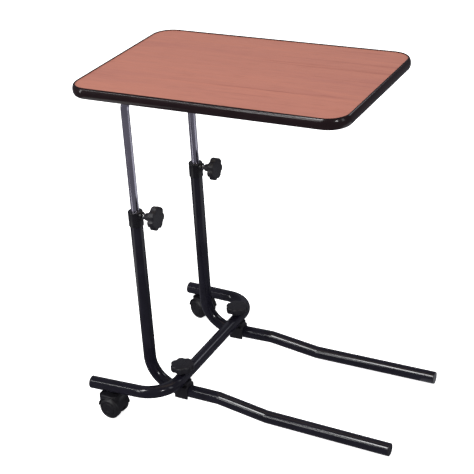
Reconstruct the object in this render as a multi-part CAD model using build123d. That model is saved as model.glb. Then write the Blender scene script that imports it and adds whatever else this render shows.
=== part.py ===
from build123d import *
import math
import os

# Overbed table: a laminate top on two telescopic legs, a U-shaped base tube
# clamped across the legs, and two twin-wheel castors under the ends of its arms.
# Millimetres, +Z up. X runs along the feet, which point to +X. The origin is on
# the floor, midway along X and Y of the table and its base. "left" is the +Y side.

os.makedirs("parts", exist_ok=True)

SIDES = {"left": 1, "right": -1}

# Overall sizes
TOP_LENGTH = 600.0
TOP_WIDTH = 400.0
TOP_SURFACE_Z = 750.0
OVERALL_LENGTH = 667.0
TOP_LEFT_X = -OVERALL_LENGTH / 2
TOP_CENTRE_X = TOP_LEFT_X + TOP_LENGTH / 2

# Table top
EDGE_WALL = 6.0
EDGE_HEIGHT = 23.2
EDGE_LIP = 2.0
EDGE_ROUNDING = 5.6
BOARD_THICKNESS = 18.0
LAMINATE = 0.9
BACKING = 0.5
BOARD_CORNER = 40.0
BOARD_UNDER_Z = TOP_SURFACE_Z - BOARD_THICKNESS

# Black leg tubes and base tube
TUBE_R = 14.0
TUBE_BORE_R = 12.5
UPRIGHT_X = TOP_LEFT_X + 98.0
UPRIGHT_Y = 134.5
UPRIGHT_TOP_Z = 459.0
TOE_OUT = 1.0
LEG_BEND_R = 70.0
STEP_BEND_R = 45.0
LEG_RUN_Z = 38.0
BAR_FROM_UPRIGHT = 82.0
STEP_TOP = BAR_FROM_UPRIGHT + 88.0
STEP_BOTTOM = BAR_FROM_UPRIGHT + 202.0
PLUG_FLANGE = 2.0
PLUG_ROUNDING = 1.2
PLUG_SPIGOT = 15.0
FOOT_REACH = OVERALL_LENGTH / 2 - UPRIGHT_X - PLUG_FLANGE
FOOT_BACK_Z = 20.0
FLOOR_ROOM = 0.05
FOOT_END_Z = TUBE_R + FLOOR_ROOM
FOOT_SLOPE = math.degrees(math.atan2(FOOT_BACK_Z - FOOT_END_Z, FOOT_REACH - STEP_BOTTOM))

BAR_X = UPRIGHT_X + BAR_FROM_UPRIGHT
BASE_Z = 72.0
BAR_UNDER_Z = BASE_Z - TUBE_R
ARM_ROOT_Y = 220.0
ARM_SPLAY = 2.5
ARM_LENGTH = 178.0
BASE_BEND_R = 66.0
CROSSING_Y = UPRIGHT_Y + BAR_FROM_UPRIGHT * math.tan(math.radians(TOE_OUT))

# Chromed inner tubes, bent over to run under the board
INNER_R = 9.0
INNER_BORE_R = 7.8
INNER_BOTTOM_Z = 228.0
INNER_BEND_R = 32.0
INNER_RUN = 390.0
RUN_Z = BOARD_UNDER_Z - INNER_R
FIXING_XS = (UPRIGHT_X + 70.0, UPRIGHT_X + 215.0, UPRIGHT_X + 360.0)
FIXING_R = 2.25
FIXING_TOP_Z = BOARD_UNDER_Z + 12.0
FIXING_HEAD_R = 4.6
FIXING_HEAD = 2.8
FIXING_HEAD_ROUNDING = 2.0
FIXING_SLOT_LENGTH = 4.4
FIXING_SLOT_WIDTH = 1.0
FIXING_SLOT_DEPTH = 1.4
SLIDER_HEIGHT = 14.0
SLIDER_CHAMFER = 1.5

# Running fits and hole sizes
RUNNING_FIT = 0.08
THREAD_FIT = 0.05
M8_R = 4.0
M8_HOLE_R = 4.5

# Height clamp on each upright
CLAMP_Z = 455.0
COLLAR_R = 16.0
COLLAR_BOTTOM_Z = 431.0
COLLAR_TOP_Z = 465.0
COLLAR_TOP_ROUNDING = 2.2
COLLAR_BOTTOM_ROUNDING = 0.8
BOSS_R = 9.5
BOSS_REACH = 18.5
BOSS_ROUNDING = 1.2
NUT_THICKNESS = 4.0
NUT_FLATS = 13.0
PAD_R = 3.8
PAD_START = 9.3
PAD_THICKNESS = 3.0
PAD_GAP = 0.05
SCREW_START = PAD_START + PAD_THICKNESS + PAD_GAP
SCREW_TIP_CHAMFER = 0.6

# Star knobs
KNOB_R = 26.0
KNOB_LOBES = 7
KNOB_THICKNESS = 16.0
KNOB_ROUNDING = 3.2
VALLEY_R = 8.0
VALLEY_CENTRE = 31.0
LOBE_ROUNDING = 3.0
HUB_OVERLAP = 2.0
CLAMP_HUB_R = 9.8
CLAMP_HUB_TIP_R = 8.2
CLAMP_HUB_ROUNDING = 1.5
CLAMP_HUB_LENGTH = 16.0
CLAMP_KNOB_START = 25.0
SCREW_EMBEDDED = 26.0
BASE_HUB_R = 11.0
BASE_HUB_LENGTH = 4.0
WASHER_R = 10.0
WASHER_THICKNESS = 1.6
INSERT_R = 6.0
INSERT_HEIGHT = 16.0

# Saddle between each leg and the base tube
SADDLE_LENGTH = 33.0
SADDLE_WIDTH = 34.0
SADDLE_BOTTOM_Z = LEG_RUN_Z - 13.0
SADDLE_SHOULDER_Z = LEG_RUN_Z + 16.0
SADDLE_TOP_Z = BASE_Z - 7.0
CRADLE_WIDTH = 21.0
SADDLE_CORNER = 3.0
SADDLE_TOP_ROUNDING = 2.0
SADDLE_FIT = 0.2
BOLT_TOP_Z = BASE_Z + 30.0
BOLT_TIP_CHAMFER = 0.8
BOLT_HEAD_R = 9.0
BOLT_HEAD = 4.0
BOLT_HEAD_ROUNDING = 3.4

# Castors, described about their own swivel axis with the wheels trailing to +X
SWIVEL_FROM_BAR = 137.0
SWIVEL_X = BAR_X - SWIVEL_FROM_BAR
SWIVEL_Y = ARM_ROOT_Y + SWIVEL_FROM_BAR * math.tan(math.radians(ARM_SPLAY))
CASTOR_HEADING = {"left": 160.0, "right": -4.0}
TRAIL = 9.0
WHEEL_R = 25.0
WHEEL_WIDTH = 18.0
WHEEL_ROUNDING = 4.5
WHEEL_GAP = 0.5
FACE_GROOVE = (14.4, 16.0)
FACE_GROOVE_DEPTH = 1.2
WEB_HALF = 6.5
WEB_R = 21.0
WHEEL_WELL_R = WHEEL_R + 1.0
SOCKET_R = 7.0
SOCKET_FLANGE_R = 10.0
SOCKET_FLANGE = 1.0
SOCKET_CAP = 1.5
STEM_END_ROOM = 0.3
HOOD_R = WHEEL_R + 3.0
HOOD_HALF_WIDTH = 22.5
HOOD_BOTTOM_Z = 27.0
HOOD_EDGE_ROUNDING = 1.5
NECK_LENGTH = 44.0
NECK_WIDTH = 42.0
NECK_BOTTOM_Z = WHEEL_R + 14.0
NECK_GAP = 0.4
NECK_TOP_Z = BAR_UNDER_Z - SOCKET_FLANGE - NECK_GAP
NECK_CORNER = 9.0
NECK_ROUNDING = 2.5
AXLE_R = 3.0
AXLE_HALF = 20.0
AXLE_END_ROOM = 0.5
STEM_R = 5.0
STEM_BOTTOM_Z = 41.0
STEM_TOP_Z = BASE_Z + 9.0
STEM_CHAMFER = 1.2


def save(node, *solids):
    """Write one node; several solids stay separate inside it."""
    shape = solids[0] if len(solids) == 1 else Compound(children=list(solids))
    shape.label = node
    export_step(shape, f"parts/{node}.step")


def bent_axis(points, bend_radii):
    """A polyline axis whose inner corners are rounded to the given bend radii."""
    points = [Vector(*point) for point in points]
    edges = []
    start = points[0]
    for before, corner, after, radius in zip(points, points[1:], points[2:], bend_radii):
        way_in = (corner - before).normalized()
        way_out = (after - corner).normalized()
        half_turn = math.radians(way_in.get_angle(way_out)) / 2
        set_back = radius * math.tan(half_turn)
        centre = corner + (way_out - way_in).normalized() * (radius / math.cos(half_turn))
        bend_start = corner - way_in * set_back
        bend_end = corner + way_out * set_back
        bend_middle = centre + (corner - centre).normalized() * radius
        edges.append(Line(start, bend_start))
        edges.append(ThreePointArc(bend_start, bend_middle, bend_end))
        start = bend_end
    edges.append(Line(start, points[-1]))
    return Wire([edge.edge() for edge in edges])


def tube(axis, radius, bore_radius):
    section = Circle(radius) - Circle(bore_radius)
    return sweep((axis ^ 0) * section, path=axis)


def upright_rod(x, y, bottom, top, radius):
    """A vertical cylinder between two heights."""
    return Pos(x, y, (bottom + top) / 2) * Cylinder(radius, top - bottom)


def level_rod(start, end, radius):
    """A cylinder along +X from start to end, on the X axis."""
    return Pos((start + end) / 2, 0, 0) * Rot(0, 90, 0) * Cylinder(radius, end - start)


def rounded_slab(length, width, corner, bottom, thickness):
    outline = RectangleRounded(length, width, corner)
    return Pos(TOP_CENTRE_X, 0, bottom) * extrude(outline, thickness)


# ---------------------------------------------------------------- table top
def make_top():
    length = TOP_LENGTH - 2 * EDGE_WALL
    width = TOP_WIDTH - 2 * EDGE_WALL
    core_top = TOP_SURFACE_Z - LAMINATE
    core_bottom = BOARD_UNDER_Z + BACKING
    pilot_holes = []
    for x in FIXING_XS:
        for side in SIDES.values():
            pilot_holes.append(upright_rod(x, side * UPRIGHT_Y, BOARD_UNDER_Z, FIXING_TOP_Z, FIXING_R))

    core = rounded_slab(length, width, BOARD_CORNER, core_bottom, core_top - core_bottom)
    backing = rounded_slab(length, width, BOARD_CORNER, BOARD_UNDER_Z, BACKING)
    laminate = rounded_slab(length, width, BOARD_CORNER, core_top, LAMINATE)

    edge_bottom = TOP_SURFACE_Z + EDGE_LIP - EDGE_HEIGHT
    edging = rounded_slab(TOP_LENGTH, TOP_WIDTH, BOARD_CORNER + EDGE_WALL, edge_bottom, EDGE_HEIGHT)
    rims = edging.faces().sort_by(Axis.Z)
    edging = fillet(rims[0].edges() + rims[-1].edges(), EDGE_ROUNDING)
    edging -= rounded_slab(length, width, BOARD_CORNER, edge_bottom, EDGE_HEIGHT)

    save("board_core", core - pilot_holes)
    save("backing_sheet", backing - pilot_holes)
    save("top_laminate", laminate)
    save("edging", edging)


def make_top_tubes():
    """Each inner tube rises in its leg, bends over and runs under the board."""
    plugs = []
    guides = []
    fixings = []
    for side_name, side in SIDES.items():
        y = side * UPRIGHT_Y
        corners = [(UPRIGHT_X, y, INNER_BOTTOM_Z), (UPRIGHT_X, y, RUN_Z), (UPRIGHT_X + INNER_RUN, y, RUN_Z)]
        inner = tube(bent_axis(corners, [INNER_BEND_R]), INNER_R, INNER_BORE_R)
        for x in FIXING_XS:
            inner -= upright_rod(x, y, RUN_Z - 2 * INNER_R, RUN_Z + 2 * INNER_R, FIXING_R)
            fixings.append(wood_screw(x, y))
        save(f"top_tube_{side_name}", inner)
        end = Pos(UPRIGHT_X + INNER_RUN, y, RUN_Z)
        plugs.append(end * tube_plug(INNER_R, INNER_BORE_R, PLUG_FLANGE))
        guides.append(Pos(UPRIGHT_X, y, INNER_BOTTOM_Z) * guide_plug())
    save("top_tube_plugs", *plugs)
    save("guide_plugs", *guides)
    save("top_screws", *fixings)


def wood_screw(x, y):
    head_top = RUN_Z - INNER_R
    shank = upright_rod(x, y, head_top, FIXING_TOP_Z, FIXING_R)
    head = upright_rod(x, y, head_top - FIXING_HEAD, head_top, FIXING_HEAD_R)
    head = fillet(head.edges().sort_by(Axis.Z)[0], FIXING_HEAD_ROUNDING)
    slot = Box(FIXING_SLOT_LENGTH, FIXING_SLOT_WIDTH, FIXING_SLOT_DEPTH)
    cross = Pos(x, y, head_top - FIXING_HEAD + FIXING_SLOT_DEPTH / 2) * (slot + Rot(0, 0, 90) * slot)
    return head + shank - cross


def tube_plug(radius, bore_radius, flange):
    """An end plug: its flange stands past the tube's end at x = 0, its spigot points to -X."""
    cap = level_rod(0, flange, radius)
    cap = fillet(cap.edges().sort_by(Axis.X)[-1], PLUG_ROUNDING)
    spigot = level_rod(-PLUG_SPIGOT, 0, bore_radius - RUNNING_FIT)
    return cap + spigot


def guide_plug():
    """The slider on the bottom of an inner tube, a running fit in the leg."""
    slider = upright_rod(0, 0, -SLIDER_HEIGHT, 0, TUBE_BORE_R - RUNNING_FIT)
    slider = chamfer(slider.edges().sort_by(Axis.Z)[0], SLIDER_CHAMFER)
    spigot = upright_rod(0, 0, 0, PLUG_SPIGOT, INNER_BORE_R - RUNNING_FIT)
    return slider + spigot


# ---------------------------------------------------------------- legs and base
def leg_place(side):
    """The frame of a leg: its upright is at x = 0 and its foot points to +X."""
    return Location((UPRIGHT_X, side * UPRIGHT_Y, 0), (0, 0, side * TOE_OUT))


def make_legs():
    corners = [
        (0, 0, UPRIGHT_TOP_Z),
        (0, 0, LEG_RUN_Z),
        (STEP_TOP, 0, LEG_RUN_Z),
        (STEP_BOTTOM, 0, FOOT_BACK_Z),
        (FOOT_REACH, 0, FOOT_END_Z),
    ]
    leg = tube(bent_axis(corners, [LEG_BEND_R, STEP_BEND_R, STEP_BEND_R]), TUBE_R, TUBE_BORE_R)
    clamp_hole = Pos(0, 0, CLAMP_Z) * level_rod(0, 2 * TUBE_R, M8_HOLE_R)
    crossing = BAR_FROM_UPRIGHT / math.cos(math.radians(TOE_OUT))
    bolt_hole = upright_rod(crossing, 0, LEG_RUN_Z - 2 * TUBE_R, LEG_RUN_Z + 2 * TUBE_R, M8_HOLE_R)
    leg = leg - bolt_hole
    plugs = []
    for side_name, side in SIDES.items():
        hole = Rot(0, 0, -side * TOE_OUT) * clamp_hole
        save(f"leg_{side_name}", leg_place(side) * (leg - hole))
        foot_end = Location((FOOT_REACH, 0, FOOT_END_Z), (0, FOOT_SLOPE, 0))
        plug = foot_end * tube_plug(TUBE_R, TUBE_BORE_R, PLUG_FLANGE)
        plugs.append(leg_place(side) * plug)
    save("foot_plugs", *plugs)


def arm_end(side):
    slope = math.tan(math.radians(ARM_SPLAY))
    return BAR_X - ARM_LENGTH, side * (ARM_ROOT_Y + ARM_LENGTH * slope)


def make_base():
    corners = [
        (*arm_end(1), BASE_Z),
        (BAR_X, ARM_ROOT_Y, BASE_Z),
        (BAR_X, -ARM_ROOT_Y, BASE_Z),
        (*arm_end(-1), BASE_Z),
    ]
    base = tube(bent_axis(corners, [BASE_BEND_R, BASE_BEND_R]), TUBE_R, TUBE_BORE_R)
    plugs = []
    sockets = []
    for side in SIDES.values():
        base -= upright_rod(BAR_X, side * CROSSING_Y, BASE_Z - 2 * TUBE_R, BASE_Z + 2 * TUBE_R, M8_HOLE_R)
        base -= upright_rod(SWIVEL_X, side * SWIVEL_Y, BAR_UNDER_Z - TUBE_R, BASE_Z, SOCKET_R)
        end = Location((*arm_end(side), BASE_Z), (0, 0, 180.0 - side * ARM_SPLAY))
        plugs.append(end * tube_plug(TUBE_R, TUBE_BORE_R, PLUG_FLANGE))
        sockets.append(Pos(SWIVEL_X, side * SWIVEL_Y, 0) * castor_socket())
    save("base_tube", base)
    save("base_plugs", *plugs)
    save("castor_sockets", *sockets)


def castor_socket():
    """The lined sleeve in an arm that a castor's stem turns in."""
    bottom = BAR_UNDER_Z - SOCKET_FLANGE
    sleeve = upright_rod(0, 0, bottom, STEM_TOP_Z + SOCKET_CAP, SOCKET_R)
    flange = upright_rod(0, 0, bottom, BAR_UNDER_Z, SOCKET_FLANGE_R)
    bore = upright_rod(0, 0, bottom, STEM_TOP_Z + STEM_END_ROOM, STEM_R + THREAD_FIT)
    return sleeve + flange - bore


# ---------------------------------------------------------------- saddles and bolts
def make_saddles():
    """A plastic block that straddles the leg below and cradles the base tube above."""
    half_length = SADDLE_LENGTH / 2
    lower_height = SADDLE_SHOULDER_Z - SADDLE_BOTTOM_Z
    lower = Pos(0, 0, SADDLE_BOTTOM_Z + lower_height / 2) * Box(SADDLE_LENGTH, SADDLE_WIDTH, lower_height)
    lower = fillet(lower.edges().filter_by(Axis.Z), SADDLE_CORNER)
    lower = fillet(lower.faces().sort_by(Axis.Z)[-1].edges(), SADDLE_TOP_ROUNDING)
    upper_height = SADDLE_TOP_Z - LEG_RUN_Z
    upper = Pos(0, 0, LEG_RUN_Z + upper_height / 2) * Box(SADDLE_LENGTH, CRADLE_WIDTH, upper_height)
    upper = fillet(upper.edges().filter_by(Axis.Z), SADDLE_CORNER)
    channel_r = TUBE_R + SADDLE_FIT
    leg_channel = Pos(0, 0, LEG_RUN_Z) * level_rod(-half_length, half_length, channel_r)
    leg_channel += Pos(0, 0, LEG_RUN_Z - channel_r) * Box(SADDLE_LENGTH, 2 * channel_r, 2 * channel_r)
    bar_trough = Pos(0, 0, BASE_Z) * Rot(90, 0, 0) * Cylinder(channel_r, SADDLE_WIDTH)
    bolt_hole = upright_rod(0, 0, SADDLE_BOTTOM_Z, BASE_Z, M8_HOLE_R)
    saddle = lower + upper - leg_channel - bar_trough - bolt_hole
    bolts = []
    for side_name, side in SIDES.items():
        place = Location((BAR_X, side * CROSSING_Y, 0), (0, 0, side * TOE_OUT))
        save(f"saddle_{side_name}", place * saddle)
        bolts.append(place * carriage_bolt())
    save("carriage_bolts", *bolts)


def carriage_bolt():
    head_top = LEG_RUN_Z - TUBE_R
    head = upright_rod(0, 0, head_top - BOLT_HEAD, head_top, BOLT_HEAD_R)
    head = fillet(head.edges().sort_by(Axis.Z)[0], BOLT_HEAD_ROUNDING)
    shank = upright_rod(0, 0, head_top, BOLT_TOP_Z, M8_R)
    shank = chamfer(shank.edges().sort_by(Axis.Z)[-1], BOLT_TIP_CHAMFER)
    return head + shank


# ---------------------------------------------------------------- height clamps
def make_clamps():
    nuts = []
    for side_name, side in SIDES.items():
        upright = Pos(UPRIGHT_X, side * UPRIGHT_Y, 0)
        clamp = Pos(UPRIGHT_X, side * UPRIGHT_Y, CLAMP_Z)
        save(f"collar_{side_name}", upright * collar())
        nuts.append(clamp * clamp_nut())
        save(f"clamp_pad_{side_name}", clamp * level_rod(PAD_START, PAD_START + PAD_THICKNESS, PAD_R))
        save(f"clamp_screw_{side_name}", clamp * clamp_screw())
        save(f"clamp_knob_{side_name}", clamp * clamp_knob())
    save("clamp_nuts", *nuts)


def collar():
    """A sleeve over the top of the leg that guides the inner tube and houses the nut."""
    sleeve = upright_rod(0, 0, COLLAR_BOTTOM_Z, COLLAR_TOP_Z, COLLAR_R)
    sleeve = fillet(sleeve.edges().sort_by(Axis.Z)[-1], COLLAR_TOP_ROUNDING)
    sleeve = fillet(sleeve.edges().sort_by(Axis.Z)[0], COLLAR_BOTTOM_ROUNDING)
    boss = Pos(0, 0, CLAMP_Z) * level_rod(0, BOSS_REACH, BOSS_R)
    boss = fillet(boss.edges().sort_by(Axis.X)[-1], BOSS_ROUNDING)
    leg_socket = upright_rod(0, 0, COLLAR_BOTTOM_Z, UPRIGHT_TOP_Z, TUBE_R)
    guide_bore = upright_rod(0, 0, UPRIGHT_TOP_Z, COLLAR_TOP_Z, INNER_R + RUNNING_FIT)
    pocket_depth = TUBE_R + NUT_THICKNESS - INNER_R
    nut_pocket = Pos(INNER_R, 0, CLAMP_Z) * Rot(0, 90, 0) * extrude(nut_outline(), pocket_depth)
    screw_hole = Pos(0, 0, CLAMP_Z) * level_rod(0, 2 * BOSS_REACH, M8_HOLE_R)
    return sleeve + boss - leg_socket - guide_bore - nut_pocket - screw_hole


def nut_outline():
    return RegularPolygon(NUT_FLATS / math.sqrt(3), 6)


def clamp_nut():
    nut = Pos(TUBE_R, 0, 0) * Rot(0, 90, 0) * extrude(nut_outline(), NUT_THICKNESS)
    return nut - level_rod(0, 2 * TUBE_R, M8_R + THREAD_FIT)


def clamp_screw():
    screw = level_rod(SCREW_START, CLAMP_KNOB_START + SCREW_EMBEDDED, M8_R)
    return chamfer(screw.edges().sort_by(Axis.X)[0], SCREW_TIP_CHAMFER)


def star_head():
    """The lobed head of a knob, its back face on z = 0 and its front towards +Z."""
    outline = Circle(KNOB_R) - PolarLocations(VALLEY_CENTRE, KNOB_LOBES) * Circle(VALLEY_R)
    outline = fillet(outline.vertices(), LOBE_ROUNDING)
    head = extrude(outline, KNOB_THICKNESS)
    rims = head.faces().filter_by(Axis.Z)
    return fillet(rims.edges(), KNOB_ROUNDING)


def clamp_knob():
    hub_cone = Cone(CLAMP_HUB_R, CLAMP_HUB_TIP_R, CLAMP_HUB_LENGTH + HUB_OVERLAP)
    hub = Pos(0, 0, -(CLAMP_HUB_LENGTH - HUB_OVERLAP) / 2) * Rot(180, 0, 0) * hub_cone
    hub = fillet(hub.edges().sort_by(Axis.Z)[0], CLAMP_HUB_ROUNDING)
    knob = Pos(CLAMP_KNOB_START + CLAMP_HUB_LENGTH, 0, 0) * Rot(0, 90, 0) * (star_head() + hub)
    return knob - level_rod(0, CLAMP_KNOB_START + SCREW_EMBEDDED, M8_R)


# ---------------------------------------------------------------- base knobs
def make_base_knobs():
    bearing_z = BASE_Z + TUBE_R
    knob_z = bearing_z + WASHER_THICKNESS
    for side_name, side in SIDES.items():
        place = Location((BAR_X, side * CROSSING_Y, 0), (0, 0, side * TOE_OUT))
        washer = upright_rod(0, 0, bearing_z, knob_z, WASHER_R)
        washer -= upright_rod(0, 0, bearing_z, knob_z, M8_R + RUNNING_FIT)
        insert = upright_rod(0, 0, knob_z, knob_z + INSERT_HEIGHT, INSERT_R)
        insert -= upright_rod(0, 0, knob_z, knob_z + INSERT_HEIGHT, M8_R + THREAD_FIT)
        hub = upright_rod(0, 0, knob_z, knob_z + BASE_HUB_LENGTH + HUB_OVERLAP, BASE_HUB_R)
        knob = Pos(0, 0, knob_z + BASE_HUB_LENGTH) * star_head() + hub
        knob -= upright_rod(0, 0, knob_z, knob_z + INSERT_HEIGHT, INSERT_R)
        save(f"washer_{side_name}", place * washer)
        save(f"knob_insert_{side_name}", place * insert)
        save(f"base_knob_{side_name}", place * knob)


# ---------------------------------------------------------------- castors
def axle_rod(start, end, radius):
    """A cylinder along Y on the axle's line, in the castor's own frame."""
    return Pos(TRAIL, (start + end) / 2, WHEEL_R) * Rot(90, 0, 0) * Cylinder(radius, end - start)


def make_castors():
    for side_name, side in SIDES.items():
        place = Location((SWIVEL_X, side * SWIVEL_Y, 0), (0, 0, CASTOR_HEADING[side_name]))
        save(f"castor_hood_{side_name}", place * castor_hood())
        save(f"castor_stem_{side_name}", place * castor_stem())
        save(f"castor_axle_{side_name}", place * axle_rod(-AXLE_HALF, AXLE_HALF, AXLE_R))
        save(f"castor_wheel_{side_name}_a", place * castor_wheel(-1))
        save(f"castor_wheel_{side_name}_b", place * castor_wheel(1))


def castor_stem():
    stem = upright_rod(0, 0, STEM_BOTTOM_Z, STEM_TOP_Z, STEM_R)
    return chamfer(stem.edges().sort_by(Axis.Z)[-1], STEM_CHAMFER)


def castor_hood():
    """A shell over the tops of both wheels, a web between them and a flat neck above."""
    shell = axle_rod(-HOOD_HALF_WIDTH, HOOD_HALF_WIDTH, HOOD_R)
    shell = fillet(shell.edges().filter_by(GeomType.CIRCLE), HOOD_EDGE_ROUNDING)
    below = HOOD_BOTTOM_Z + HOOD_R
    shell -= Pos(TRAIL, 0, HOOD_BOTTOM_Z - below / 2) * Box(3 * HOOD_R, 3 * HOOD_R, below)
    height = NECK_TOP_Z - NECK_BOTTOM_Z
    neck = Pos(TRAIL / 2, 0, NECK_BOTTOM_Z + height / 2) * Box(NECK_LENGTH, NECK_WIDTH, height)
    neck = fillet(neck.edges().filter_by(Axis.Z), NECK_CORNER)
    neck = fillet(neck.faces().sort_by(Axis.Z)[-1].edges(), NECK_ROUNDING)
    hood = shell + neck
    for side in SIDES.values():
        inner, outer = sorted((side * WEB_HALF, side * 2 * HOOD_HALF_WIDTH))
        hood -= axle_rod(inner, outer, WHEEL_WELL_R)
    hood += axle_rod(-WEB_HALF, WEB_HALF, WEB_R)
    hood -= axle_rod(-WEB_HALF, WEB_HALF, AXLE_R)
    return hood - upright_rod(0, 0, STEM_BOTTOM_Z, NECK_TOP_Z, STEM_R)


def castor_wheel(side):
    inner = WEB_HALF + WHEEL_GAP
    outer = inner + WHEEL_WIDTH
    spans = sorted((side * inner, side * outer))
    wheel = axle_rod(*spans, WHEEL_R)
    rims = wheel.edges().filter_by(GeomType.CIRCLE).sort_by(Axis.Y)
    outer_rim = rims[-1] if side > 0 else rims[0]
    wheel = fillet(outer_rim, WHEEL_ROUNDING)
    bore = sorted((0, side * (AXLE_HALF + AXLE_END_ROOM)))
    wheel -= axle_rod(*bore, AXLE_R + THREAD_FIT)
    groove = sorted((side * (outer - FACE_GROOVE_DEPTH), side * (outer + FACE_GROOVE_DEPTH)))
    inside, outside = FACE_GROOVE
    return wheel - (axle_rod(*groove, outside) - axle_rod(*groove, inside))


make_top()
make_top_tubes()
make_legs()
make_base()
make_saddles()
make_clamps()
make_base_knobs()
make_castors()
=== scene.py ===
import bpy
import bmesh
import math
from mathutils import Matrix, Vector


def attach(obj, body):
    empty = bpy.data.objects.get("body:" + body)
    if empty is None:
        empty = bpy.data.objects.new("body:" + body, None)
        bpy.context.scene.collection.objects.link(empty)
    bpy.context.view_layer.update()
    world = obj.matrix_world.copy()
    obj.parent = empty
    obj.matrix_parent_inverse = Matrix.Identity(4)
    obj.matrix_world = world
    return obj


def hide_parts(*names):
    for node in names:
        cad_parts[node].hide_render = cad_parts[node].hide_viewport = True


# Overbed table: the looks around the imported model. Shapes are worked out in
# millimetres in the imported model's frame and scaled to metres when each mesh is
# made. X runs along the feet, Z is up, the origin is on the floor.

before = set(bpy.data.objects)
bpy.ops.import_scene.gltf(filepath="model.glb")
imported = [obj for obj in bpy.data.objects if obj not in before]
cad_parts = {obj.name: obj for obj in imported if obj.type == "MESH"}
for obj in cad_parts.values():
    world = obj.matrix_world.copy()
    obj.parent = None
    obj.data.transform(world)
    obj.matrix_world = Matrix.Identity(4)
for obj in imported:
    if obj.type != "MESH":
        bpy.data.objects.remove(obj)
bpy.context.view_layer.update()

MM = 0.001
SIDES = {"left": 1, "right": -1}
AXIS_Y, AXIS_Z = Vector((0, 1, 0)), Vector((0, 0, 1))
SMOOTH_ANGLE = math.radians(38)
EASED_ANGLE = math.radians(35)
LEAST_CORNER = 0.4

# Table top
TOP_SIZE = (600.0, 400.0)
TOP_CENTRE_X = -33.5
SURFACE_Z = 750.0
EDGE_WALL = 6.0
EDGE_HEIGHT = 23.2
EDGE_LIP = 2.0
EDGE_SHELF = 0.5
BOARD_CORNER = 40.0
LAMINATE = 0.9
LAMINATE_EASE = 0.3

# Tubes
TUBE_R, TUBE_BORE_R = 14.0, 12.5
LEG_BORE_R = TUBE_BORE_R + 0.1  # keeps the facets clear of the sliders
TUBE_RIM = 0.35
UPRIGHT_X, UPRIGHT_Y = -235.5, 134.5
UPRIGHT_TOP_Z = 459.0
TOE_OUT = math.radians(1.0)
LEG_BEND_R, STEP_BEND_R, BASE_BEND_R = 70.0, 45.0, 66.0
LEG_RUN_Z = 38.0
BAR_FROM_UPRIGHT = 82.0
STEP_TOP, STEP_BOTTOM = BAR_FROM_UPRIGHT + 88.0, BAR_FROM_UPRIGHT + 202.0
PLUG_FLANGE, PLUG_DISH, PLUG_DEPTH, PLUG_FIT = 2.0, 0.35, 15.0, 0.1
FOOT_REACH = 567.0
FOOT_BACK_Z, FOOT_END_Z = 20.0, 14.05
FOOT_SLOPE = math.atan2(FOOT_BACK_Z - FOOT_END_Z, FOOT_REACH - STEP_BOTTOM)
BAR_X = UPRIGHT_X + BAR_FROM_UPRIGHT
BASE_Z = 72.0
ARM_ROOT_Y, ARM_LENGTH = 220.0, 178.0
ARM_SPLAY = math.radians(2.5)
CROSSING_Y = UPRIGHT_Y + BAR_FROM_UPRIGHT * math.tan(TOE_OUT)
INNER_R, INNER_BORE_R = 9.0, 7.8
INNER_BOTTOM_Z = 228.0
INNER_BEND_R = 32.0
INNER_RUN = 390.0
BOARD_UNDER_Z = 732.0
RUN_Z = BOARD_UNDER_Z - INNER_R

# Clamps and knobs
CLAMP_Z = 455.0
COLLAR_R = 16.0
COLLAR_BOTTOM_Z, COLLAR_TOP_Z = 431.0, 465.0
BOSS_R, BOSS_REACH = 9.5, 18.5
NUT_FLATS = 13.0
M8_HOLE_R = 4.5
SCREW_R = 4.0
THREAD_PITCH = 1.25
THREAD_DEPTH = 0.6
SCREW_START, SCREW_END = 12.35, 51.0
KNOB_R = 26.0
KNOB_LOBES = 7
KNOB_THICKNESS = 16.0
KNOB_ROUNDING, KNOB_CROWN, KNOB_FLAT_R = 3.2, 0.9, 7.0
VALLEY_R, VALLEY_CENTRE, VALLEY_BLEND = 8.0, 31.0, 3.4
CLAMP_KNOB_START = 25.0
CLAMP_HUB = 16.0
BASE_HUB = 4.0
WASHER_R, WASHER_BORE_R, WASHER_THICKNESS = 10.0, 4.1, 1.6
KNOB_Z = BASE_Z + TUBE_R + WASHER_THICKNESS

# Saddles and bolts
SADDLE_LENGTH, SADDLE_WIDTH = 33.0, 34.0
SADDLE_BOTTOM_Z = LEG_RUN_Z - 13.0
SADDLE_SHOULDER_Z = LEG_RUN_Z + 16.0
SADDLE_TOP_Z = BASE_Z - 7.0
CRADLE_WIDTH = 21.0
SADDLE_CHANNEL_R = 14.2
SADDLE_CORNER, SADDLE_ROUNDING = 3.0, 2.0
BOLT_TOP_Z = BASE_Z + 30.0

# Castors
SWIVEL_FROM_BAR = 137.0
SWIVEL_X = BAR_X - SWIVEL_FROM_BAR
SWIVEL_Y = ARM_ROOT_Y + SWIVEL_FROM_BAR * math.tan(ARM_SPLAY)
CASTOR_HEADING = {"left": math.radians(160.0), "right": math.radians(-4.0)}
TRAIL = 9.0
WHEEL_R = 25.0
WHEEL_INNER, WHEEL_OUTER = 7.0, 25.0
WELL_R = 26.0
WEB_HALF, WEB_R = 6.5, 21.0
HOOD_R, HOOD_HALF = 28.0, 22.5
HUB_HALF = HOOD_HALF - 3.0
HOOD_BOTTOM_Z = 27.0
NECK_LENGTH, NECK_WIDTH, NECK_CORNER = 44.0, 42.0, 9.0
NECK_BOTTOM_Z, NECK_TOP_Z, NECK_ROUNDING = 39.0, 56.6, 2.5
STEM_R, AXLE_R, AXLE_POCKET = 5.0, 3.0, 13.5
AXLE_COVER = 1.6


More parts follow.
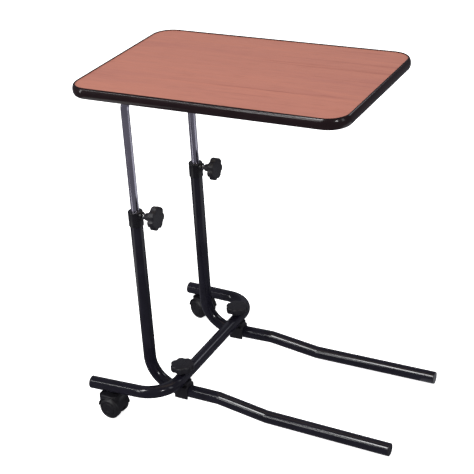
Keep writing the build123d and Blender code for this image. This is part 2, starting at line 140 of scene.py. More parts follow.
# ------------------------------------------------------------------ mesh tools
def finish_piece(name, bm, material, body, replaced):
    """Turn a bmesh drawn in millimetres into a smooth-shaded piece that rides on a body."""
    bmesh.ops.scale(bm, vec=(MM, MM, MM), verts=bm.verts)
    bmesh.ops.recalc_face_normals(bm, faces=bm.faces)
    for face in bm.faces:
        face.smooth = True
    for edge in bm.edges:
        edge.smooth = edge.calc_face_angle(0.0) < SMOOTH_ANGLE
    mesh = bpy.data.meshes.new(name)
    bm.to_mesh(mesh)
    bm.free()
    mesh.materials.append(material)
    piece = bpy.data.objects.new(name, mesh)
    bpy.context.scene.collection.objects.link(piece)
    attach(piece, body)
    if replaced:
        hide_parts(*replaced)
    return piece


def soften(corners, steps=6):
    """Round the corners (u, v, radius) of a closed outline and return its points."""
    points = []
    count = len(corners)
    for i, (u, v, radius) in enumerate(corners):
        here = Vector((u, v))
        if radius <= 0:
            points.append(here)
            continue
        before = (Vector(corners[i - 1][:2]) - here).normalized()
        after = (Vector(corners[(i + 1) % count][:2]) - here).normalized()
        half = before.angle(after) / 2
        reach = radius / math.tan(half)
        centre = here + (before + after).normalized() * (radius / math.sin(half))
        first, last = here + before * reach - centre, here + after * reach - centre
        turn = first.angle(last)
        for k in range(steps + 1):
            t = k / steps
            blend = (first * math.sin((1 - t) * turn) + last * math.sin(t * turn)) / math.sin(turn)
            points.append(centre + blend)
    return points


def join_rings(bm, rings, closed=False):
    """Skin between rings of vertices; a ring of one vertex is a pole."""
    pairs = list(zip(rings, rings[1:]))
    if closed:
        pairs.append((rings[-1], rings[0]))
    for low, high in pairs:
        if len(low) == 1 and len(high) == 1:
            continue
        count = max(len(low), len(high))
        for i in range(count):
            j = (i + 1) % count
            if len(low) == 1:
                bm.faces.new((low[0], high[j], high[i]))
            elif len(high) == 1:
                bm.faces.new((low[i], low[j], high[0]))
            else:
                bm.faces.new((low[i], low[j], high[j], high[i]))


def lathe(profile, segments=72, place=Matrix.Identity(4)):
    """Turn a profile of (radius, height) points about Z; off the axis it closes on itself."""
    bm = bmesh.new()
    rings = []
    for radius, height in profile:
        if radius < 1e-6:
            rings.append([bm.verts.new(place @ Vector((0, 0, height)))])
            continue
        ring = []
        for i in range(segments):
            angle = math.tau * i / segments
            point = Vector((radius * math.cos(angle), radius * math.sin(angle), height))
            ring.append(bm.verts.new(place @ point))
        rings.append(ring)
    join_rings(bm, rings, closed=profile[0][0] > 1e-6 or profile[-1][0] > 1e-6)
    return bm


def bent_path(corners, radii, bend_steps=20, run_step=60.0):
    """Points along straight runs joined by tangent arcs."""
    corners = [Vector(corner) for corner in corners]
    stops = [[corners[0]]]
    for before, corner, after, radius in zip(corners, corners[1:], corners[2:], radii):
        way_in, way_out = (corner - before).normalized(), (after - corner).normalized()
        half = way_in.angle(way_out) / 2
        centre = corner + (way_out - way_in).normalized() * (radius / math.cos(half))
        first = corner - way_in * radius * math.tan(half) - centre
        last = corner + way_out * radius * math.tan(half) - centre
        arc = []
        for k in range(bend_steps + 1):
            t = k / bend_steps
            spread = math.sin((1 - t) * 2 * half) * first + math.sin(t * 2 * half) * last
            arc.append(centre + spread / math.sin(2 * half))
        stops.append(arc)
    stops.append([corners[-1]])
    path = []
    for piece, following in zip(stops, stops[1:]):
        path.extend(piece)
        start, end = piece[-1], following[0]
        cuts = int((end - start).length // run_step)
        path.extend(start.lerp(end, (k + 1) / (cuts + 1)) for k in range(cuts))
    path.extend(stops[-1])
    return path


def tube(path, normal, radius, bore, segments=64, rim=TUBE_RIM):
    """A hollow tube along a path that lies in the plane across normal."""
    bm = bmesh.new()
    frames = []
    for i, point in enumerate(path):
        before, after = path[max(i - 1, 0)], path[min(i + 1, len(path) - 1)]
        tangent = (after - before).normalized()
        frames.append((point, tangent, tangent.cross(normal).normalized()))

    def ring(stop, ring_radius, shift=0.0):
        point, tangent, across = stop
        centre = point + tangent * shift
        around = [math.tau * i / segments for i in range(segments)]
        return [bm.verts.new(centre + (normal * math.cos(a) + across * math.sin(a)) * ring_radius)
                for a in around]

    first, last = frames[0], frames[-1]
    rings = [ring(first, bore, rim), ring(first, bore + rim), ring(first, radius - rim)]
    rings += [ring(first, radius, rim)] + [ring(stop, radius) for stop in frames[1:-1]]
    rings += [ring(last, radius, -rim), ring(last, radius - rim), ring(last, bore + rim)]
    rings += [ring(last, bore, -rim)] + [ring(stop, bore) for stop in reversed(frames[1:-1])]
    join_rings(bm, rings, closed=True)
    return bm


def moved(place, bm):
    """Put a bmesh in its place."""
    bmesh.ops.transform(bm, matrix=place, verts=bm.verts)
    return bm


def merged(*parts):
    """Put several bmeshes into one piece."""
    whole = parts[0]
    for part in parts[1:]:
        mesh = bpy.data.meshes.new("part")
        part.to_mesh(mesh)
        part.free()
        whole.from_mesh(mesh)
        bpy.data.meshes.remove(mesh)
    return whole


def place_at(x, y, z, turn=0.0):
    """A place turned about the vertical."""
    return Matrix.Translation((x, y, z)) @ Matrix.Rotation(turn, 4, "Z")


def along_x(x, y, z, turn=0.0):
    """A place whose Z axis points along the frame's +X, turned about the vertical."""
    return place_at(x, y, z, turn) @ Matrix.Rotation(math.radians(90), 4, "Y")


def prism(outline, bottom, top):
    """A closed block between two heights from a list of (x, y) points."""
    bm = bmesh.new()
    rings = [[bm.verts.new((point[0], point[1], z)) for point in outline] for z in (bottom, top)]
    join_rings(bm, rings)
    bm.faces.new(rings[0])
    bm.faces.new(rings[1])
    bmesh.ops.recalc_face_normals(bm, faces=bm.faces)
    return bm


def rounded_block(length, width, corner, rings, centre=(0.0, 0.0)):
    """A block of rounded rectangles stacked as (inset, z) rings."""
    bm = bmesh.new()
    skins = []
    for inset, z in rings:
        x, y, radius = length / 2 - inset, width / 2 - inset, max(corner - inset, LEAST_CORNER)
        corners = [(x, -y, radius), (x, y, radius), (-x, y, radius), (-x, -y, radius)]
        skins.append([bm.verts.new((centre[0] + point.x, centre[1] + point.y, z))
                      for point in soften(corners, 8)])
    join_rings(bm, skins)
    bm.faces.new(skins[0])
    bm.faces.new(skins[-1])
    bmesh.ops.recalc_face_normals(bm, faces=bm.faces)
    return bm


def turned(profile, segments, place=Matrix.Identity(4)):
    """A closed lathe body whose faces all look outwards, ready to be carved."""
    bm = lathe(profile, segments, place)
    bmesh.ops.recalc_face_normals(bm, faces=bm.faces)
    return bm


def rod(radius, start, end, place=Matrix.Identity(4), segments=64):
    """A plain cylinder along Z, used to add to or cut from a body."""
    return turned([(0, start), (radius, start), (radius, end), (0, end)], segments, place)


def spun(place, step, count):
    """Turns of a place, so that no two tools on an axis share the plane of a facet."""
    return [place @ Matrix.Rotation(math.radians(step * k), 4, "Z") for k in range(1, count + 1)]


def rounded_over(bottom, top, radius, step):
    """Rings (inset, z) of an upright block with a rounded top edge, for rounded_block."""
    angles = [math.radians(step * k) for k in range(1, 90 // step + 1)]
    return [(0, bottom), (0, top - radius)] + [
        (radius * (1 - math.cos(a)), top - radius * (1 - math.sin(a))) for a in angles]


def carved(body, steps, easing=0):
    """Add to and cut from a body in turn, then round the edges that are left sharp."""
    def temporary(bm):
        mesh = bpy.data.meshes.new("step")
        bm.to_mesh(mesh)
        bm.free()
        piece = bpy.data.objects.new("step", mesh)
        bpy.context.scene.collection.objects.link(piece)
        return piece

    pieces = [temporary(body)]
    for operation, tool in steps:
        pieces.append(temporary(tool))
        modifier = pieces[0].modifiers.new("step", "BOOLEAN")
        modifier.operation = operation
        modifier.solver = "EXACT"
        modifier.object = pieces[-1]
    if easing:
        bevel = pieces[0].modifiers.new("easing", "BEVEL")
        bevel.width = easing
        bevel.segments = 3
        bevel.limit_method = "ANGLE"
        bevel.angle_limit = EASED_ANGLE
    graph = bpy.context.evaluated_depsgraph_get()
    bm = bmesh.new()
    bm.from_mesh(pieces[0].evaluated_get(graph).to_mesh())
    pieces[0].evaluated_get(graph).to_mesh_clear()
    for piece in pieces:
        mesh = piece.data
        bpy.data.objects.remove(piece)
        bpy.data.meshes.remove(mesh)
    return bm


# ------------------------------------------------------------------ materials
def srgb(red, green, blue):
    """An 8-bit display colour as linear light."""
    def linear(value):
        value /= 255
        return value / 12.92 if value <= 0.04045 else ((value + 0.055) / 1.055) ** 2.4
    return (linear(red), linear(green), linear(blue), 1.0)


class Nodes:
    """A short way to write a material's node tree."""

    def __init__(self, name):
        self.material = bpy.data.materials.new(name)
        self.material.use_nodes = True
        self.tree = self.material.node_tree
        self.shader = self.tree.nodes["Principled BSDF"]
        self.coordinates = self.tree.nodes.new("ShaderNodeTexCoord").outputs["Object"]

    def link(self, source, target):
        self.tree.links.new(source, target)

    def stretched(self, scale):
        mapping = self.tree.nodes.new("ShaderNodeMapping")
        mapping.inputs["Scale"].default_value = scale
        self.link(self.coordinates, mapping.inputs["Vector"])
        return mapping.outputs["Vector"]

    def noise(self, scale, stretch=(1, 1, 1), detail=3.0, roughness=0.5, distortion=0.0):
        noise = self.tree.nodes.new("ShaderNodeTexNoise")
        noise.inputs["Scale"].default_value = scale
        noise.inputs["Detail"].default_value = detail
        noise.inputs["Roughness"].default_value = roughness
        noise.inputs["Distortion"].default_value = distortion
        self.link(self.stretched(stretch), noise.inputs["Vector"])
        return noise.outputs["Fac"]

    def ramp(self, factor, *stops):
        ramp = self.tree.nodes.new("ShaderNodeValToRGB")
        elements = ramp.color_ramp.elements
        while len(elements) < len(stops):
            elements.new(0.5)
        for element, (position, colour) in zip(elements, stops):
            element.position = position
            element.color = colour
        self.link(factor, ramp.inputs["Fac"])
        return ramp.outputs["Color"]

    def mix(self, factor, first, second, blend="MIX"):
        mix = self.tree.nodes.new("ShaderNodeMix")
        mix.data_type = "RGBA"
        mix.blend_type = blend
        sockets = (mix.inputs[0], mix.inputs[6], mix.inputs[7])
        for value, socket in zip((factor, first, second), sockets):
            if isinstance(value, bpy.types.NodeSocket):
                self.link(value, socket)
            else:
                socket.default_value = value
        return mix.outputs[2]

    def spread(self, factor, low, high):
        """Map a 0-1 factor to a range."""
        ranged = self.tree.nodes.new("ShaderNodeMapRange")
        ranged.inputs["From Min"].default_value = 0.3
        ranged.inputs["From Max"].default_value = 0.7
        ranged.inputs["To Min"].default_value = low
        ranged.inputs["To Max"].default_value = high
        self.link(factor, ranged.inputs["Value"])
        return ranged.outputs["Result"]

    def bump(self, height, strength, distance):
        bump = self.tree.nodes.new("ShaderNodeBump")
        bump.inputs["Strength"].default_value = strength
        bump.inputs["Distance"].default_value = distance
        self.link(height, bump.inputs["Height"])
        self.link(bump.outputs["Normal"], self.shader.inputs["Normal"])

    def finish(self, colour, roughness, **constants):
        for value, socket in ((colour, "Base Color"), (roughness, "Roughness")):
            if isinstance(value, bpy.types.NodeSocket):
                self.link(value, self.shader.inputs[socket])
            else:
                self.shader.inputs[socket].default_value = value
        for name, value in constants.items():
            self.shader.inputs[name.replace("_", " ")].default_value = value
        return self.material


def laminate_material():
    """Pear-coloured printed wood grain under a satin melamine face; the grain runs along X."""
    n = Nodes("laminate_wood")
    bands = n.noise(9.0, (0.22, 2.4, 1), detail=4, roughness=0.55, distortion=0.9)
    streaks = n.noise(34.0, (0.06, 2.2, 1), detail=5, roughness=0.6, distortion=0.4)
    pores = n.noise(420.0, (0.045, 1.6, 1), detail=2, roughness=0.5)
    base = n.ramp(bands, (0.28, srgb(168, 106, 92)), (0.5, srgb(174, 111, 94)),
                  (0.74, srgb(180, 114, 95)))
    streaked = n.ramp(streaks, (0.30, srgb(166, 110, 106)), (0.44, srgb(255, 255, 255)),
                      (0.62, srgb(255, 255, 255)))
    colour = n.mix(0.32, base, streaked, "MULTIPLY")
    fine = n.ramp(pores, (0.33, srgb(178, 160, 158)), (0.47, srgb(255, 255, 255)))
    colour = n.mix(0.25, colour, fine, "MULTIPLY")
    n.bump(pores, 0.04, 0.0002)
    return n.finish(colour, n.spread(streaks, 0.36, 0.44), IOR=1.45)


def edging_material():
    """Glossy near-black brown extruded plastic."""
    n = Nodes("edging_plastic")
    mottle = n.noise(60.0, (0.4, 0.4, 1), detail=4)
    peel = n.noise(700.0, detail=2)
    colour = n.ramp(mottle, (0.3, srgb(19, 9, 11)), (0.7, srgb(26, 14, 16)))
    n.bump(peel, 0.04, 0.0003)
    return n.finish(colour, n.spread(mottle, 0.15, 0.2), IOR=1.45)


def black_tube_material():
    """Gloss black stove enamel with a slight orange peel."""
    n = Nodes("black_enamel")
    cloud = n.noise(30.0, detail=3)
    peel = n.noise(550.0, detail=2)
    colour = n.ramp(cloud, (0.3, srgb(16, 15, 22)), (0.7, srgb(23, 22, 31)))
    n.bump(peel, 0.05, 0.0002)
    return n.finish(colour, n.spread(cloud, 0.11, 0.16), IOR=1.45)


def chrome_material():
    """Chromed steel with faint polishing lines round the tube."""
    n = Nodes("chromed_steel")
    cloud = n.noise(25.0, detail=3)
    lines = n.noise(900.0, (0.05, 0.05, 1), detail=2)
    colour = n.ramp(cloud, (0.3, srgb(200, 196, 210)), (0.7, srgb(216, 212, 226)))
    n.bump(lines, 0.012, 0.0001)
    return n.finish(colour, n.spread(cloud, 0.15, 0.2), Metallic=1.0)


def moulded_material(name, dark, light, roughness, grain=900.0, grain_strength=0.16):
    """Moulded plastic with a fine spark-eroded texture and slight colour variation."""
    n = Nodes(name)
    cloud = n.noise(45.0, detail=4)
    texture = n.noise(grain, detail=3, roughness=0.65)
    colour = n.ramp(cloud, (0.3, srgb(*dark)), (0.7, srgb(*light)))
    n.bump(texture, grain_strength, 0.0003)
    return n.finish(colour, n.spread(cloud, roughness - 0.05, roughness + 0.05), IOR=1.45)


def metal_material(name, dark, light, roughness, grain_stretch=(1, 1, 1)):
    """Plated or plain small hardware, slightly clouded."""
    n = Nodes(name)
    cloud = n.noise(120.0, detail=4)
    grain = n.noise(1500.0, grain_stretch, detail=2)
    colour = n.ramp(cloud, (0.3, srgb(*dark)), (0.7, srgb(*light)))
    n.bump(grain, 0.08, 0.0001)
    return n.finish(colour, n.spread(cloud, roughness - 0.06, roughness + 0.06), Metallic=1.0)


def board_material():
    """Pressed wood chips."""
    n = Nodes("chipboard")
    chips = n.tree.nodes.new("ShaderNodeTexVoronoi")
    chips.inputs["Scale"].default_value = 420.0
    n.link(n.stretched((1, 1, 2.5)), chips.inputs["Vector"])
    tone = n.ramp(chips.outputs["Color"], (0.0, srgb(150, 118, 82)), (1.0, srgb(206, 176, 134)))
    n.bump(chips.outputs["Distance"], 0.3, 0.0004)
    return n.finish(tone, n.spread(n.noise(90.0), 0.75, 0.9))


def backing_material():
    """Plain buff balancing paper under the board, with a faint fibre."""
    n = Nodes("backing_paper")
    fibre = n.noise(260.0, (0.25, 1.4, 1), detail=4)
    cloud = n.noise(12.0, detail=3)
    tone = n.ramp(cloud, (0.3, srgb(188, 168, 142)), (0.7, srgb(204, 186, 160)))
    flecks = n.ramp(fibre, (0.3, srgb(200, 190, 178)), (0.5, srgb(255, 255, 255)))
    n.bump(fibre, 0.06, 0.0002)
    return n.finish(n.mix(0.5, tone, flecks, "MULTIPLY"), n.spread(fibre, 0.5, 0.62))


LOOKS = {
    "laminate": laminate_material(),
    "board": board_material(),
    "backing": backing_material(),
    "edging": edging_material(),
    "black_tube": black_tube_material(),
    "chrome": chrome_material(),
    "black_plastic": moulded_material("knob_plastic", (19, 18, 23), (27, 26, 32), 0.4),
    "collar_plastic": moulded_material("collar_plastic", (12, 11, 15), (17, 16, 21), 0.26,
                                       grain_strength=0.06),
    "wheel_plastic": moulded_material("wheel_nylon", (15, 14, 18), (22, 21, 26), 0.44, 700.0),
    "white_nylon": moulded_material("white_nylon", (214, 212, 204), (228, 227, 220), 0.4),
    "zinc": metal_material("zinc_plate", (186, 188, 190), (216, 217, 218), 0.24, (1, 1, 0.1)),
    "brass": metal_material("brass", (170, 134, 70), (196, 160, 92), 0.28),
}


# ------------------------------------------------------------------ table top
def slab_outline(length, width, corner, steps=16):
    """Points round a rounded rectangle centred on the board."""
    half_length, half_width = length / 2, width / 2
    corners = [(half_length, -half_width, corner), (half_length, half_width, corner),
               (-half_length, half_width, corner), (-half_length, -half_width, corner)]
    return [Vector((TOP_CENTRE_X + point.x, point.y, 0)) for point in soften(corners, steps)]


def make_laminate():
    """The printed face, its rim just eased where it meets the edging."""
    length, width = TOP_SIZE[0] - 2 * EDGE_WALL, TOP_SIZE[1] - 2 * EDGE_WALL
    ease = LAMINATE_EASE
    bm = bmesh.new()
    rings = []
    for inset, z in ((ease, SURFACE_Z - LAMINATE), (0, SURFACE_Z - LAMINATE + ease),
                     (0, SURFACE_Z - ease), (ease, SURFACE_Z)):
        outline = slab_outline(length - 2 * inset, width - 2 * inset, BOARD_CORNER - inset)
        rings.append([bm.verts.new(point + AXIS_Z * z) for point in outline])
    join_rings(bm, rings)
    bm.faces.new(rings[0])
    bm.faces.new(rings[-1])
    finish_piece("laminate_face", bm, LOOKS["laminate"], "table_top", ["top_laminate"])


def make_edging():
    """A bullnose strip round the board, with a lip standing proud of the laminate."""
    top = SURFACE_Z + EDGE_LIP
    half_height = EDGE_HEIGHT / 2
    nose = EDGE_WALL - EDGE_SHELF
    steps = 32
    profile = [(EDGE_WALL, top - EDGE_HEIGHT)]
    for k in range(steps + 1):
        angle = math.radians(-90 + 180 * k / steps)
        profile.append((nose * (1 - math.cos(angle)),
                        top - half_height + half_height * math.sin(angle)))
    profile += [(EDGE_WALL - 0.3, top - 0.06), (EDGE_WALL - 0.1, top - 0.3),
                (EDGE_WALL - 0.1, SURFACE_Z + 0.1), (EDGE_WALL, SURFACE_Z - 0.1)]
    bm = bmesh.new()
    rings = []
    for inset, z in profile:
        outline = slab_outline(TOP_SIZE[0] - 2 * inset, TOP_SIZE[1] - 2 * inset,
                               BOARD_CORNER + EDGE_WALL - inset)
        rings.append([bm.verts.new(spot + AXIS_Z * z) for spot in outline])
    join_rings(bm, rings, closed=True)
    finish_piece("edging_strip", bm, LOOKS["edging"], "table_top", ["edging"])


def make_top_tubes():
    """The chromed uprights, bent over to run under the board, and the plugs in their ends."""
    plugs = []
    end_x = UPRIGHT_X + INNER_RUN
    for side_name, side in SIDES.items():
        y = side * UPRIGHT_Y
        corners = [(UPRIGHT_X, y, INNER_BOTTOM_Z), (UPRIGHT_X, y, RUN_Z), (end_x, y, RUN_Z)]
        bm = tube(bent_path(corners, [INNER_BEND_R]), AXIS_Y, INNER_R, INNER_BORE_R)
        finish_piece(f"inner_tube_{side_name}", bm, LOOKS["chrome"], "table_top",
                     [f"top_tube_{side_name}"])
        plugs.append(lathe(plug_profile(INNER_R, INNER_BORE_R), place=along_x(end_x, y, RUN_Z)))
    finish_piece("top_tube_end_plugs", merged(*plugs), LOOKS["black_plastic"],
                 "table_top", ["top_tube_plugs"])


def plug_profile(radius, bore):
    """An end plug about Z, its flange above z = 0 with a shallow dished face."""
    floor = PLUG_FLANGE - PLUG_DISH
    spigot = bore - PLUG_FIT
    return soften([(0, floor, 0), (radius * 0.62, floor, 0.4), (radius * 0.7, PLUG_FLANGE, 0.4),
                   (radius, PLUG_FLANGE, 1.2), (radius, 0.0, 0.1), (spigot, 0.0, 0.1),
                   (spigot, -PLUG_DEPTH, 0.8), (0, -PLUG_DEPTH, 0)], 4)


# ------------------------------------------------------------------ legs and base
def leg_place(side):
    """A leg's own place: its upright at x = 0 and its foot along +X."""
    return place_at(UPRIGHT_X, side * UPRIGHT_Y, 0, side * TOE_OUT)


def make_legs():
    """Each leg in one bent tube with a cross hole for the clamp, and the plugs in the feet."""
    corners = [(0, 0, UPRIGHT_TOP_Z), (0, 0, LEG_RUN_Z), (STEP_TOP, 0, LEG_RUN_Z),
               (STEP_BOTTOM, 0, FOOT_BACK_Z), (FOOT_REACH, 0, FOOT_END_Z)]
    path = bent_path(corners, [LEG_BEND_R, STEP_BEND_R, STEP_BEND_R])
    plugs = []
    for side_name, side in SIDES.items():
        leg = tube(path, AXIS_Y, TUBE_R, LEG_BORE_R)
        bmesh.ops.recalc_face_normals(leg, faces=leg.faces)
        pad_hole = rod(M8_HOLE_R, 0, 2 * TUBE_R, along_x(0, 0, CLAMP_Z))
        bm = moved(leg_place(side), carved(leg, [("DIFFERENCE", pad_hole)]))
        finish_piece(f"leg_tube_{side_name}", bm, LOOKS["black_tube"], "frame",
                     [f"leg_{side_name}"])
        slope = Matrix.Rotation(FOOT_SLOPE, 4, "Y")
        end = leg_place(side) @ place_at(FOOT_REACH, 0, FOOT_END_Z) @ slope @ along_x(0, 0, 0)
        plugs.append(lathe(plug_profile(TUBE_R, TUBE_BORE_R), place=end))
    finish_piece("foot_end_plugs", merged(*plugs), LOOKS["black_plastic"], "frame",
                 ["foot_plugs"])


def arm_end(side):
    """Where the middle of an arm's end is, seen from above."""
    return BAR_X - ARM_LENGTH, side * (ARM_ROOT_Y + ARM_LENGTH * math.tan(ARM_SPLAY))


def make_base():
    """The bar and its two splayed arms in one bent tube, and the plugs in the arms."""
    corners = [(*arm_end(1), BASE_Z), (BAR_X, ARM_ROOT_Y, BASE_Z), (BAR_X, -ARM_ROOT_Y, BASE_Z),
               (*arm_end(-1), BASE_Z)]
    bm = tube(bent_path(corners, [BASE_BEND_R, BASE_BEND_R]), AXIS_Z, TUBE_R, TUBE_BORE_R)
    finish_piece("base_bar", bm, LOOKS["black_tube"], "frame", ["base_tube"])
    plugs = []
    for side in SIDES.values():
        end = along_x(*arm_end(side), BASE_Z, math.pi - side * ARM_SPLAY)
        plugs.append(lathe(plug_profile(TUBE_R, TUBE_BORE_R), place=end))
    finish_piece("arm_end_plugs", merged(*plugs), LOOKS["black_plastic"], "frame",
                 ["base_plugs"])


# ------------------------------------------------------------------ knobs
def lobed_radius(angle):
    """Outline of a knob head: lobes at KNOB_R with a smooth valley between each pair."""
    pitch = math.tau / KNOB_LOBES
    off = (angle + pitch / 2) % pitch - pitch / 2
    reach = VALLEY_R ** 2 - (VALLEY_CENTRE * math.sin(off)) ** 2
    if reach <= 0:
        return KNOB_R
    valley = VALLEY_CENTRE * math.cos(off) - math.sqrt(reach)
    blend = max(VALLEY_BLEND - abs(KNOB_R - valley), 0) / VALLEY_BLEND
    return min(KNOB_R, valley) - blend * blend * VALLEY_BLEND / 4


def knob(hub_rings, spokes_per_lobe=28):
    """A knob about Z: hub rings (radius, z) first, then the lobed head on z = 0, front up."""
    count = KNOB_LOBES * spokes_per_lobe
    angles = [math.tau * i / count for i in range(count)]
    outline = [Vector((lobed_radius(a) * math.cos(a), lobed_radius(a) * math.sin(a)))
               for a in angles]
    inward = []
    for i in range(count):
        along = outline[(i + 1) % count] - outline[i - 1]
        inward.append(Vector((-along.y, along.x)).normalized())

    bm = bmesh.new()

    def lobed_ring(inset, z, scale=1.0):
        spots = [point + way * inset for point, way in zip(outline, inward)]
        return [bm.verts.new((spot.x * scale, spot.y * scale, z)) for spot in spots]

    def round_ring(radius, z):
        return [bm.verts.new((radius * math.cos(a), radius * math.sin(a), z)) for a in angles]

    rings = [round_ring(*ring) for ring in hub_rings]
    rounding = KNOB_ROUNDING
    for inset, z, scale in ((2.6, 0.9, 0.92), (0.9, 0.8, 1.0), (0.5, 0.1, 1.0)):
        rings.append(lobed_ring(rounding + inset, z, scale))
    steps = 8
    for k in range(steps + 1):
        angle = math.radians(90) * k / steps
        rings.append(lobed_ring(rounding * (1 - math.sin(angle)), rounding * (1 - math.cos(angle))))
    steps = 10
    for k in range(steps + 1):
        angle = math.radians(78) * k / steps
        rings.append(lobed_ring(rounding * (1 - math.cos(angle)),
                                KNOB_THICKNESS - KNOB_CROWN - rounding * (1 - math.sin(angle))))
    for scale, drop in ((0.93, 0.62), (0.8, 0.42), (0.64, 0.22), (0.5, 0.08)):
        rings.append(lobed_ring(rounding, KNOB_THICKNESS - drop, scale))
    rings.append(round_ring(KNOB_FLAT_R, KNOB_THICKNESS))
    rings.append([bm.verts.new((0, 0, KNOB_THICKNESS))])
    join_rings(bm, rings)
    return bm


def place_knob(side_name, kind, hub, place):
    """Make a knob of either kind, closed at the bottom of its bore, on its own body."""
    bm = knob(hub)
    bmesh.ops.holes_fill(bm, edges=[edge for edge in bm.edges if edge.is_boundary])
    body = f"{kind}_knob_{side_name}"
    finish_piece(f"{kind}_star_knob_{side_name}", moved(place, bm), LOOKS["black_plastic"],
                 body, [body])


def make_clamp_knobs():
    """The hub tapers towards the collar and has a bore for the screw."""
    start = -CLAMP_HUB
    hub = [(SCREW_R, 8.0), (SCREW_R, start + 0.6), (SCREW_R + 0.6, start), (6.8, start),
           (7.7, start + 0.35), (8.2, start + 1.4), (9.7, -1.6), (10.1, -0.4), (11.0, 0.4),
           (13.0, 0.9)]
    for side_name, side in SIDES.items():
        place = along_x(UPRIGHT_X + CLAMP_KNOB_START + CLAMP_HUB, side * UPRIGHT_Y, CLAMP_Z)
        place_knob(side_name, "clamp", hub, place)


def make_base_knobs():
    """The hub is short and straight, with a bore for the brass insert."""
    start = -BASE_HUB
    hub = [(6.0, 12.0), (6.0, start + 0.4), (6.4, start), (10.2, start), (10.8, start + 0.3),
           (11.0, start + 1.0), (11.0, -0.6), (11.6, 0.5), (13.0, 0.9)]
    for side_name, side in SIDES.items():
        place = place_at(BAR_X, side * CROSSING_Y, KNOB_Z + BASE_HUB, side * TOE_OUT)
        place_knob(side_name, "base", hub, place)


def threaded_rod(start, end, segments=40, steps_per_turn=10):
    """A helical thread about Z with a plain chamfered tip at its start."""
    bm = bmesh.new()
    step = THREAD_PITCH / steps_per_turn
    count = int((end - start) / step)
    rings = [[bm.verts.new((0, 0, start))]]
    for k in range(count + 1):
        z = start + k * step
        fade = min(1.0, (z - start) / 1.2)
        ring = []
        for i in range(segments):
            turn = i / segments
            phase = (z / THREAD_PITCH - turn) % 1.0
            depth = THREAD_DEPTH * min(1.0, max(0.0, abs(2 * phase - 1) * 1.25 - 0.12))
            radius = (SCREW_R - depth) * (0.78 + 0.22 * fade)
            angle = math.tau * turn
            ring.append(bm.verts.new((radius * math.cos(angle), radius * math.sin(angle), z)))
        rings.append(ring)
    rings.append([bm.verts.new((0, 0, start + count * step))])
    join_rings(bm, rings)
    return bm


def make_clamp_screws():
    """The threaded stud moulded into each clamp knob."""
    for side_name, side in SIDES.items():
        place = along_x(UPRIGHT_X, side * UPRIGHT_Y, CLAMP_Z)
        bm = moved(place, threaded_rod(SCREW_START, SCREW_END))
        finish_piece(f"clamp_stud_{side_name}", bm, LOOKS["zinc"],
                     f"clamp_knob_{side_name}", [f"clamp_screw_{side_name}"])


# ------------------------------------------------------------------ castors
def castor_place(side_name):
    """A castor's own place: its stem at x = 0 and its wheels trailing towards +X."""
    side = SIDES[side_name]
    return place_at(SWIVEL_X, side * SWIVEL_Y, 0, CASTOR_HEADING[side_name])


def wheel_profile():
    """Half a twin wheel about its axle: z = 0 at the inner face, the outer face up."""
    width = WHEEL_OUTER - WHEEL_INNER
    bore = [(0, AXLE_POCKET, 0), (AXLE_R + 0.1, AXLE_POCKET, 0), (AXLE_R + 0.1, 0.3, 0)]
    tread = [(7.0, 0.0, 0.4), (WHEEL_R - 1.2, 0.0, 0.6), (WHEEL_R, 1.2, 0.8),
             (WHEEL_R, width - 5.0, 4.4), (WHEEL_R - 4.6, width - 0.6, 2.5)]
    groove = [(17.2, width - 0.5, 0.3), (16.6, width - 1.5, 0.3), (14.6, width - 1.5, 0.3),
              (14.0, width - 0.2, 0.4)]
    cap = [(6.4, width, 0.4), (5.6, width - 0.8, 0.3), (0, width - 0.8, 0)]
    return soften(bore + tread + groove + cap, 6)


def make_wheels():
    """Two wheels to a castor, one on each side of the hood's web."""
    for side_name in SIDES:
        for which, direction in (("a", -1), ("b", 1)):
            axle = Matrix.Translation((TRAIL, direction * WHEEL_INNER, WHEEL_R))
            turn = Matrix.Rotation(math.radians(-90 * direction), 4, "X")
            bm = lathe(wheel_profile(), 96, castor_place(side_name) @ axle @ turn)
            finish_piece(f"wheel_disc_{side_name}_{which}", bm, LOOKS["wheel_plastic"],
                         f"wheel_{side_name}_{which}",
                         [f"castor_wheel_{side_name}_{which}"])


def make_hoods():
    """A shell over both treads, a web between the wheels and a flat neck under the arm."""
    axle = Matrix.Translation((TRAIL, 0, WHEEL_R)) @ Matrix.Rotation(math.radians(90), 4, "X")
    web, left_well, right_well, axle_bore = spun(axle, 0.4, 4)
    cover = HOOD_HALF - AXLE_COVER
    shell = soften([(0, -HOOD_HALF, 0), (HOOD_R, -HOOD_HALF, 2.2), (HOOD_R, HOOD_HALF, 2.2),
                    (0, HOOD_HALF, 0)], 6)
    below = (HOOD_R + 4) * 2
    neck_rings = rounded_over(NECK_BOTTOM_Z, NECK_TOP_Z, NECK_ROUNDING, 15)
    for side_name in SIDES:
        body = turned(shell, 128, axle)
        away = rounded_block(below * 2, below * 2, 1.0, ((0, -below), (0, HOOD_BOTTOM_Z)))
        neck = rounded_block(NECK_LENGTH, NECK_WIDTH, NECK_CORNER, neck_rings, (TRAIL / 2, 0))
        steps = [("DIFFERENCE", away), ("UNION", neck),
                 ("UNION", rod(WEB_R, -HUB_HALF, HUB_HALF, web, 128)),
                 ("DIFFERENCE", rod(WELL_R, WEB_HALF, 3 * HOOD_HALF, left_well, 128)),
                 ("DIFFERENCE", rod(WELL_R, -3 * HOOD_HALF, -WEB_HALF, right_well, 128)),
                 ("DIFFERENCE", rod(AXLE_R, -cover, cover, axle_bore)),
                 ("DIFFERENCE", rod(STEM_R, NECK_BOTTOM_Z, 2 * NECK_TOP_Z))]
        bm = moved(castor_place(side_name), carved(body, steps, 0.45))
        finish_piece(f"castor_fork_{side_name}", bm, LOOKS["wheel_plastic"],
                     f"castor_{side_name}", [f"castor_hood_{side_name}"])


